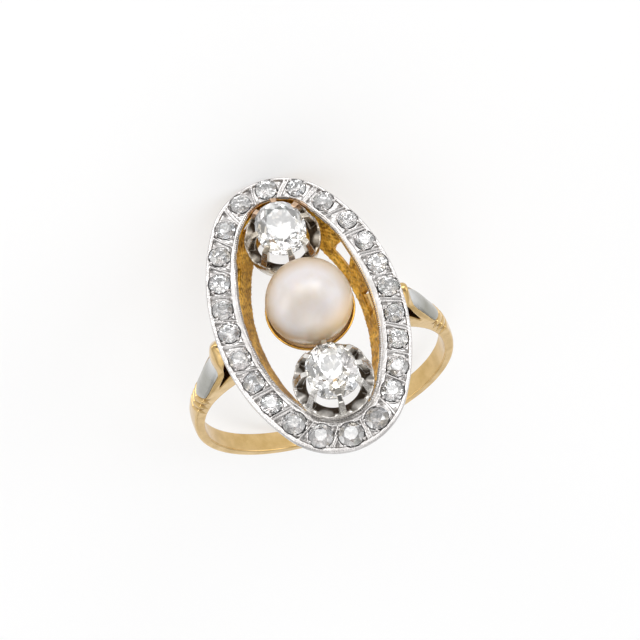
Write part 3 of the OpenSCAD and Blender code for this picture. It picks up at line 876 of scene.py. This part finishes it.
def build_collets():
    for name, cx, cy, rim, lip in (("upper", UPPER_X, STONE_D, RIM_UPPER, 0.13), ("lower", LOWER_X, -STONE_D, RIM_LOWER, 0.2)):
        g = steps_of(-rim - 0.12, rim + 0.12, 0.045)
        claws = CLAWS[name]

        def shape(x, y, z):
            bowl, cl = collet_parts(x, y, z, rim, claws, lip)
            return smin(bowl, cl, 0.05)

        P, Q, hollow, N = nets(shape, g, g, steps_of(RIM_Z - 1.3, GIRDLE_Z + 0.45, 0.045), lambda a, b, c: (a, b, c), reach=0.04)
        x, y, z = P.T
        r = np.hypot(x, y)
        bowl, cl = collet_parts(x, y, z, rim, claws, lip)
        # painted shade: the bowl's inner walls and hollows darker, less on the claws and towards the top
        inner = np.clip(0.25 - (N[:, 0] * x + N[:, 1] * y) / r, 0, 1) * step(RIM_Z - 0.03, RIM_Z - 0.16, z) * (r < rim - 0.08)
        off_claw = step(0.0, 0.07, cl)
        painted_light_and_wear = np.clip((hollow - 0.2) * 1.6, 0, 1) * (0.25 + 0.6 * off_claw) + np.clip(inner * 1.6, 0, 1) * (0.1 + 0.9 * off_claw)
        painted_light_and_wear *= step(GIRDLE_Z - 0.1, RIM_Z + 0.1, z) * 0.9 + 0.1
        o = make("collet_" + name + "_body", P + [cx, cy, 0], Q, COLLET if name == "lower" else COLLET_WORN, ("collet_" + name,), painted_light_and_wear)
        if name == "upper":  # copper-coloured claw tips beside the frame's upper end
            o.data.materials.append(COPPER)
            c = P[Q].mean(1)
            az = np.degrees(np.arctan2(c[:, 1], c[:, 0]))
            tip = (c[:, 2] > RIM_Z + 0.45) & (np.abs(az - 83) < 60)
            o.data.polygons.foreach_set("material_index", tip.astype(np.int32))


build_shank()
build_plaques()
build_gallery()
build_cup()
build_collets()

# ------------------------------------------------------------------ paved frame
MID = 0.97
MID_L = oval_lengths(MID)[2]
# each pave stone, clockwise from the oval's upper end: its place in pitches, depth inside the outline and radius
PAVE = [(0.00, 0.78, 0.68), (1.00, 0.76, 0.60), (2.06, 0.84, 0.64), (3.16, 0.72, 0.61), (4.15, 0.76, 0.62), (5.10, 0.87, 0.63),
        (6.04, 0.84, 0.66), (7.05, 0.95, 0.62), (8.00, 0.94, 0.63), (9.00, 0.94, 0.66), (9.88, 1.00, 0.70), (11.00, 1.03, 0.73),
        (12.02, 0.93, 0.78), (13.00, 0.91, 0.76), (14.00, 0.92, 0.72), (15.02, 0.86, 0.66), (16.00, 0.88, 0.66), (16.97, 0.92, 0.68),
        (18.00, 0.96, 0.67), (18.88, 0.91, 0.64), (19.88, 0.91, 0.67), (20.90, 0.86, 0.67), (21.92, 0.87, 0.63), (23.00, 0.82, 0.66)]
SEAT_Z = FRAME_Z - 0.07  # the pave stones' girdles
pu = np.array([0.25 - (k + 0.097) / 24 for k, _, _ in PAVE]) % 1.0
pd = np.array([d for _, d, _ in PAVE])
pr = np.array([r for _, _, r in PAVE])
px, py, pnx, pny = oval_at(pu, pd, MID)
# bars across the band between neighbours: (middle in pitches, slant, half the spacing of a double bar)
BARS = []
for k in range(24):
    a, b = PAVE[k][0], PAVE[(k + 1) % 24][0] + (24 if k == 23 else 0)
    ra, rb = PAVE[k][2], PAVE[(k + 1) % 24][2]
    BARS.append(((a + b) / 2 + (ra - rb) * 0.25, rng.uniform(0.12, 0.42), rng.choice([0.0, 0.0, 0.11])))


# how far the band's outer and inner edges lie inside the plain oval, round the ring in pitches: it was shaped by hand
edge_outer = table([(0, 0.05), (1, 0.10), (2, 0.10), (3, 0.05), (4, 0.03), (5, 0.06), (6, 0.10), (8, 0.07), (10, 0.09), (11, 0.03),
                    (12, -0.08), (13, -0.09), (15, -0.09), (16, -0.08), (17, -0.05), (18, 0), (20, 0.03), (22, 0.0), (23, 0.05),
                    (24, 0.05)], 0.5)
edge_inner = table([(0, -0.40), (1, -0.40), (1.5, -0.24), (2, -0.15), (3, -0.15), (3.6, -0.02), (4, 0.06), (5, 0.12), (6, 0.14),
                    (7, 0.13), (8, 0.12), (9, 0.14), (10, 0.13), (11, 0.16), (12, 0.16), (13, 0.18), (14, 0.12), (14.6, 0.0),
                    (15, -0.07), (16, -0.03), (17, 0.04), (18, 0.07), (19, 0.08), (20, 0.08), (20.5, 0.02), (21, -0.09),
                    (22, -0.15), (22.5, -0.14), (23, -0.28), (23.5, -0.40), (24, -0.40)], 0.25)


def band_at(u, off, ref):
    """A point of the band, with the hand-shaped edges worked in."""
    q = ((0.25 - u) * 24 - 0.097) % 24
    d = off + edge_outer(q) * step(0.5, 0.0, off) + edge_inner(q) * step(1.45, 2.0, off)
    return oval_at(u, d, ref)


def frame_height(u, off, x, y):
    """Height of the frame's top and how dark it is painted, on a grid of stations: painted shade in the channel, the
    cut fans, the lines, the seats and along the inner rim, and a worn patch.
    """
    H = np.full(x.shape, FRAME_Z)
    g = np.zeros(x.shape)
    # channel between the rims
    chan = step(0.24, 0.31, off) * step(1.62, 1.55, off)
    H -= 0.15 * chan
    g = np.maximum(g, 0.12 * chan)
    # bright cuts: bars across the band, and triangles cut in from both rims
    q = ((0.25 - u) * 24 - 0.097) % 24
    for mid, slant, half in BARS:
        ds = ((q - mid + 12) % 24 - 12) * MID_L / 24 + slant * (off - 0.92)
        b = np.zeros(x.shape)
        for sgn in ((-1, 1) if half else (0,)):
            b = np.maximum(b, step(0.095, 0.04, np.abs(ds - sgn * half)))
        near = np.abs(ds) < 0.5
        fan = step(0.13, 0.19, np.abs(ds)) * step(0.34, 0.28, np.abs(ds)) * near
        H += 0.14 * b * chan - 0.07 * fan * chan * step(0.25, 0.5, np.abs(off - 0.92))
        g = np.maximum(g * (1 - b), 0.75 * fan * chan * step(0.25, 0.5, np.abs(off - 0.92)))
    # rims: a fine line inside the beaded edge, lines along the inner rim
    H -= 0.10 * np.clip((off - 1.60) / 0.4, 0, 1) * (1.2 - 0.2 * np.cos(q * 2.1))
    for at, w, d, dark in ((0.15, 0.035, 0.035, 0.5), (1.66, 0.04, 0.03, 0.4), (1.745, 0.03, 0.012, 0.18), (1.84, 0.035, 0.03, 0.45)):
        wob = 0.012 * np.sin(q * 5.3 + at * 40) + 0.008 * np.sin(q * 13.1 + at * 90)
        t = np.clip(1 - np.abs(off - at - wob) / w, 0, 1)
        H -= d * t
        g = np.maximum(g, dark * t)
    worn = np.clip(1 - np.abs(q - 12.8) / 4.2, 0, 1)
    worn = worn * worn * (3 - 2 * worn)
    g = np.maximum(g, worn * (0.32 + 0.2 * np.sin(x * 17.0 + y * 9.0) * np.sin(y * 21.0 - x * 5.0)))
    inner = step(1.6, 1.66, off)
    g = np.maximum(g, inner * (0.10 + 0.26 * np.clip(1.3 - np.abs(q - 5.5) / 4, 0, 1) + 0.26 * np.clip(1.3 - np.abs(q - 19.3) / 3, 0, 1)))
    # rounded edges
    for e in (off, BAND_W - off):
        t = np.clip(1 - e / 0.11, 0, 1)
        H -= 0.13 * (1 - np.sqrt(np.clip(1 - t * t, 0, 1)))
    # seats
    for k in range(24):
        d = np.hypot(x - px[k], y - py[k])
        near = d < pr[k] + 0.25
        if not near.any():
            continue
        dd = d[near]
        r = pr[k]
        lip = step(r + 0.16, r + 0.08, dd) * step(r + 0.015, r + 0.05, dd) * 0.5
        low = SEAT_Z - 0.10 - 0.72 * np.clip(r - dd, 0, 0.72)
        cut = step(r + 0.075, r + 0.02, dd)
        h = H[near]
        h = np.maximum(h, h * (1 - lip) + (FRAME_Z - 0.05) * lip)
        H[near] = h * (1 - cut) + np.minimum(low, h) * cut
        # painted shade: a dark ring in the gap round each stone
        ring = step(r + 0.075, r + 0.04, dd) * step(r - 0.10, r - 0.03, dd)
        g[near] = np.maximum(g[near] * (1 - lip) * step(r - 0.1, r, dd), ring)
    return H, g


def build_frame():
    n = int(1040 / FINE)
    us = np.arange(n) / n
    offs = np.concatenate([[0.0, 0.012, 0.04], steps_of(0.075, BAND_W - 0.075, 0.037), [BAND_W - 0.04, BAND_W - 0.012, BAND_W]])
    U, O = np.meshgrid(us, offs, indexing="ij")
    x, y, _, _ = band_at(U, O, MID)
    H, g = frame_height(U, O, x, y)
    # the worn, hand-cut look of the rims
    H += 0.0025 * (np.sin(x * 9.1 + y * 4.3) + np.sin(x * 5.7 - y * 11.2) + np.sin(x * 19.0 + y * 23.0)) * (g < 0.2)
    z0 = FRAME_Z - FRAME_T
    # walls under the top: (depth inside the outline, height, painted shade), darker on the undersides and the inner
    # wall beneath the frame
    walls = [(BAND_W, 11.615, 0), (BAND_W - 0.025, 11.60, 0.9), (BAND_W - 0.004, 11.58, 0), (BAND_W, FRAME_Z - FRAME_EDGE, 0.0),
             (BAND_W - 0.04, FRAME_Z - FRAME_EDGE - 0.03, 0.6), (BAND_W - 0.3, z0 + 0.26, 0.8), (1.27, z0 + 0.26, 0.8),
             (1.15, z0, 0.5), (0.72, z0 + 0.01, 0.3), (0.32, z0, 0.2), (0.03, 11.44, 0.2), (0.0, FRAME_Z - FRAME_EDGE, 0),
             (0.0, 11.60, 0.0)]
    P, G = [np.stack([x, y, H], -1)], [g]
    for off, z, gr in walls:
        a, b, _, _ = band_at(us, np.full(n, off), MID)
        P.append(np.stack([a, b, np.full(n, z)], -1)[:, None])
        G.append(np.full((n, 1), float(gr)))
    P, G = np.concatenate(P, 1), np.concatenate(G, 1)
    m = P.shape[1]
    i, j = np.meshgrid(np.arange(n), np.arange(m), indexing="ij")
    a = (i * m + j).ravel()
    b = (i * m + (j + 1) % m).ravel()
    c = (((i + 1) % n) * m + (j + 1) % m).ravel()
    d = (((i + 1) % n) * m + j).ravel()
    F = np.stack([a, b, c, d], 1)
    V = P.reshape(-1, 3)
    k = len(offs)
    which = np.zeros(len(F), int)  # 0 white, 1 the pale gold line, 2 the dark gold behind
    jj = j.ravel()
    which[(jj >= k + 1) & (jj < k + 4)] = 1
    which[(jj >= k + 4) & (jj < k + 8)] = 2
    which[(jj >= k + 8) & (jj < k + 10)] = 1
    # worn places at the inner edge: pale gold on the right, copper at the upper end
    qf = (((0.25 - us[i.ravel()]) * 24 - 0.097) % 24)
    of = np.where(jj < k, offs[np.minimum(jj, k - 1)], BAND_W)
    wob = 0.05 * np.sin(qf * 7.3) + 0.04 * np.sin(qf * 17.9 + 1.0)
    near = lambda lo, hi, soft=0.35: np.clip(np.minimum((qf - lo) / soft, (hi - qf) / soft), 0, 1)
    which[(of > BAND_W - 0.15 * np.maximum(near(3.1, 7.8), 0.7 * near(13.5, 14.6)) - 0.02 * (wob > 0.03)) & (jj < k + 4) & (jj > 2)] = 1
    top_end = np.maximum(np.maximum(near(22.8, 23.75, 0.15), near(-0.55, 0.35, 0.15)), near(0.8, 1.8, 0.2))
    which[(of > BAND_W - 0.34 * top_end - wob * top_end) & (top_end > 0.1) & (jj < k + 2) & (jj > 2)] = 3
    w0, w1, w2 = V[F[:, 0]], V[F[:, 1]], V[F[:, 2]]
    if np.einsum("ij,ij->i", w0, np.cross(w1, w2)).sum() < 0:
        F = F[:, ::-1]
    o = make("frame_body", V, np.ascontiguousarray(F), WHITE, ("oval_frame",), G.ravel())
    o.data.materials.append(GOLD)
    o.data.materials.append(DEEP_GOLD)
    o.data.materials.append(COPPER)
    o.data.polygons.foreach_set("material_index", which.astype(np.int32))
    # beaded edges
    s = Soup()
    for off, r, pitch, z in ((0.062, 0.05, 0.145, FRAME_Z - 0.045), (BAND_W - 0.085, 0.042, 0.15, FRAME_Z - 0.035)):
        count = int(oval_lengths(off)[2] / pitch)
        uu = (np.arange(count) + 0.5) / count
        bx, by, _, _ = band_at(uu, np.full(count, off), off)
        for q in range(count):
            s.add(BALL1[0] * (r * rng.uniform(0.9, 1.1)) + [bx[q], by[q], z], BALL1[1], 0.0)
    v, f, gg = s.done()
    make("frame_beading", v, np.array(f), WHITE, ("oval_frame",), gg)
    # grains that hold the pave stones
    s = Soup()
    for k in range(24):
        tx, ty = -pny[k], pnx[k]
        for ang in (42, 138, 222, 318):
            a = math.radians(ang + rng.uniform(-9, 9))
            d = pr[k] + rng.uniform(0.02, 0.06)
            c, e = d * math.cos(a), d * math.sin(a)
            r = rng.uniform(0.10, 0.135)
            g0 = [px[k] + tx * c + pnx[k] * e, py[k] + ty * c + pny[k] * e, FRAME_Z - 0.075]
            s.add(BALL2[0] * [r, r, r * 1.15] + g0, BALL2[1], 0.0)
    v, f, gg = s.done()
    make("pave_grains", v, np.array(f), WHITE, ("oval_frame",), gg)


def ball(level):
    """A round ball of triangles."""
    t = (1 + 5 ** 0.5) / 2
    v = [(-1, t, 0), (1, t, 0), (-1, -t, 0), (1, -t, 0), (0, -1, t), (0, 1, t), (0, -1, -t), (0, 1, -t), (t, 0, -1), (t, 0, 1),
         (-t, 0, -1), (-t, 0, 1)]
    f = [(0, 11, 5), (0, 5, 1), (0, 1, 7), (0, 7, 10), (0, 10, 11), (1, 5, 9), (5, 11, 4), (11, 10, 2), (10, 7, 6), (7, 1, 8),
         (3, 9, 4), (3, 4, 2), (3, 2, 6), (3, 6, 8), (3, 8, 9), (4, 9, 5), (2, 4, 11), (6, 2, 10), (8, 6, 7), (9, 8, 1)]
    v = [np.array(p) / math.hypot(*p) for p in v]
    for _ in range(level):
        seen, nf = {}, []

        def mid(a, b):
            key = (min(a, b), max(a, b))
            if key not in seen:
                p = v[a] + v[b]
                v.append(p / np.linalg.norm(p))
                seen[key] = len(v) - 1
            return seen[key]

        for a, b, c in f:
            x, y, z = mid(a, b), mid(b, c), mid(c, a)
            nf += [(a, x, z), (b, y, x), (c, z, y), (x, y, z)]
        f = nf
    return np.array(v), np.array(f)


BALL1, BALL2, BALL5 = ball(1), ball(2), ball(5)


# ------------------------------------------------------------------ stones
def clip(poly, n, d):
    s = poly @ n - d
    out = []
    for i in range(len(poly)):
        a, b, sa, sb = poly[i - 1], poly[i], s[i - 1], s[i]
        if (sa <= 0) != (sb <= 0):
            out.append(a + (b - a) * (sa / (sa - sb)))
        if sb <= 0:
            out.append(b)
    return np.array(out) if len(out) > 2 else None


def cut_stone(seed, tab=0.52, crown=0.42, gird=0.05, pav=0.86, culet=0.09, square=0.03, jitter=1.0, halves=True):
    """An old cut stone of unit girdle radius: table, eight mains, stars, halves, a thin girdle, mains and halves below, culet."""
    r = np.random.default_rng(seed)
    j = lambda s: r.normal(0, s * jitter)
    P = [((0, 0, 1), crown, "t"), ((0, 0, -1), pav, "c")]
    am, ap = math.atan2(crown - gird, 1 - tab), math.atan2(pav - gird, 1 - culet)

    def plane(az, ang, rad, z, kind, up):
        """Faces the azimuth, ang above the girdle's plane, through the point at radius rad and height z."""
        n = np.array([math.sin(ang) * math.cos(az), math.sin(ang) * math.sin(az), up * math.cos(ang)])
        P.append((n, n @ np.array([rad * math.cos(az), rad * math.sin(az), z]), kind))

    def rad(az):
        return 1 + square * math.sin(2 * az) ** 2

    for k in range(8):
        az = k * math.pi / 4 + j(0.02)
        plane(az, am + j(0.012), rad(az) * (1.0 + j(0.005)), gird, "m", 1)
        plane(az + j(0.02), ap + j(0.010), rad(az), -gird, "p", -1)
        az2 = az + math.pi / 8 + j(0.02)
        plane(az2, am * 0.60 + j(0.015), tab * math.cos(math.pi / 8) * (1 + j(0.02)), crown, "s", 1)
    for k in range(16 if halves else 0):
        az = (k + 0.5) * math.pi / 8 + j(0.02)
        plane(az, am * 1.20 + j(0.012), rad(az) * math.cos(math.pi / 16), gird, "h", 1)
        plane(az + j(0.02), ap * 1.055 + j(0.006), rad(az) * math.cos(math.pi / 16), -gird, "l", -1)
    for k in range(24):
        az = k * math.pi / 12
        n = np.array([math.cos(az), math.sin(az), 0.0])
        P.append((n, rad(az) * 0.992, "g"))
    N = np.array([np.asarray(p[0], float) for p in P])
    D = np.array([p[1] for p in P])
    verts, faces, kinds, key = [], [], [], {}
    for i in range(len(P)):
        n = N[i]
        u = np.cross(n, (0, 0, 1.0) if abs(n[2]) < 0.9 else (1.0, 0, 0))
        u /= np.linalg.norm(u)
        v = np.cross(n, u)
        poly = np.array([n * D[i] + 4 * (a * u + b * v) for a, b in ((-1, -1), (1, -1), (1, 1), (-1, 1))])
        for k in range(len(P)):
            if k != i and poly is not None:
                poly = clip(poly, N[k], D[k])
        if poly is None:
            continue
        ids = []
        for p in poly:
            q = tuple(np.round(p, 5))
            if q not in key:
                key[q] = len(verts)
                verts.append(p)
            if not ids or ids[-1] != key[q]:
                ids.append(key[q])
        if ids[0] == ids[-1]:
            ids = ids[:-1]
        if len(ids) > 2:
            faces.append(ids)
            kinds.append(P[i][2])
    return np.array(verts), faces, kinds


HUES = [(1.0, 0.86, 0.62), (0.80, 0.88, 1.0), (1.0, 0.90, 0.88), (0.93, 0.90, 0.84), (0.88, 1.0, 0.93)]


def tints(kinds, r, share):
    """A nearly white colour for each facet; a few of them get painted fire, tinted and darker colours that stand in for
    the stone's coloured and dark flashes.
    """
    out = []
    for k in kinds:
        v = r.uniform(0.965, 1.0)
        c = np.array([v, v, v])
        if k in "mhspl" and r.random() < share:
            c = c * (0.35 + 0.65 * np.array(HUES[r.integers(len(HUES))]))
            c = c * r.uniform(0.68, 1.0)
        out.append(c)
    return out


def build_stones():
    cuts = [cut_stone(11 + i, tab=0.50 + 0.02 * i, crown=0.36 + 0.015 * i, pav=0.80 + 0.012 * i, culet=0.1, jitter=1.8,
                      halves=i in (1, 3)) for i in range(5)]
    V, F, T, n = [], [], [], 0
    for k in range(24):
        v, f, kinds = cuts[(k * 7) % 5]
        a = rng.uniform(0, math.tau)
        ca, sa = math.cos(a), math.sin(a)
        R = np.array([[ca, -sa, 0], [sa, ca, 0], [0, 0, 1]])
        tx, ty = math.radians(rng.normal(0, 3.0)), math.radians(rng.normal(0, 3.0))
        tilt = np.array([[1, 0, ty], [0, 1, -tx], [-ty, tx, 1]])
        w = v @ R.T @ tilt.T * (pr[k] * np.array([1.0, rng.uniform(0.96, 1.02), 1.0])) + [px[k], py[k], SEAT_Z]
        V.append(w)
        F += [np.array(q) + n for q in f]
        n += len(w)
        # the stones at the lower end are a little greyer
        shade = 0.98 - 0.2 * max(0.0, 1 - abs(k - 12) / 4)
        T += [np.asarray(c) * shade for c in tints(kinds, rng, 0.3)]
    make("pave_stones", np.concatenate(V), F, DIAMOND, ("oval_frame",), None, np.array(T), smooth=False)
    for name, cx, cy, kw in (("upper", UPPER_X, STONE_D, dict(seed=5, tab=0.60, crown=0.46, pav=0.84, culet=0.10, jitter=1.3)),
                             ("lower", LOWER_X, -STONE_D, dict(seed=8, tab=0.46, crown=0.44, pav=0.86, culet=0.11, square=0.06,
                                                               jitter=1.3))):
        v, f, kinds = cut_stone(**kw)
        w = v * [STONE_RX, STONE_RY, 1.7]
        if name == "upper":  # this stone sits a little askew
            n = UPPER_TILT
            ax = np.cross((0, 0, 1), n)
            K = np.array([[0, 0, ax[1]], [0, 0, -ax[0]], [-ax[1], ax[0], 0]])
            w = w @ (np.eye(3) + K + K @ K / (1 + n[2])).T
        w = w + [cx, cy, GIRDLE_Z]
        make("old_cut_" + name, w, f, DIAMOND, ("diamond_" + name,), None,
             np.array(tints(kinds, np.random.default_rng(kw["seed"] + 3), 0.22)), smooth=False)


def build_pearl():
    v, f = BALL5
    # a natural pearl's slight unevenness
    n = np.sin(v[:, 0] * 2.3 + 1.0) * np.sin(v[:, 1] * 2.9 + 0.4) + 0.6 * np.sin(v[:, 2] * 3.7 + v[:, 0] * 2.1)
    w = v * (PEARL_R * (1 + 0.004 * n - 0.004))[:, None] + [PEARL_X, 0, PEARL_Z]
    # painted reflection: the side towards the lower collet and the cup is painted golden, as the gold beneath would
    # light it
    d = v @ (np.array([0.42, -0.80, -0.42]))
    make("pearl_body", w, f, PEARL, ("pearl",), step(0.25, 0.92, d))


build_frame()
build_stones()
build_pearl()
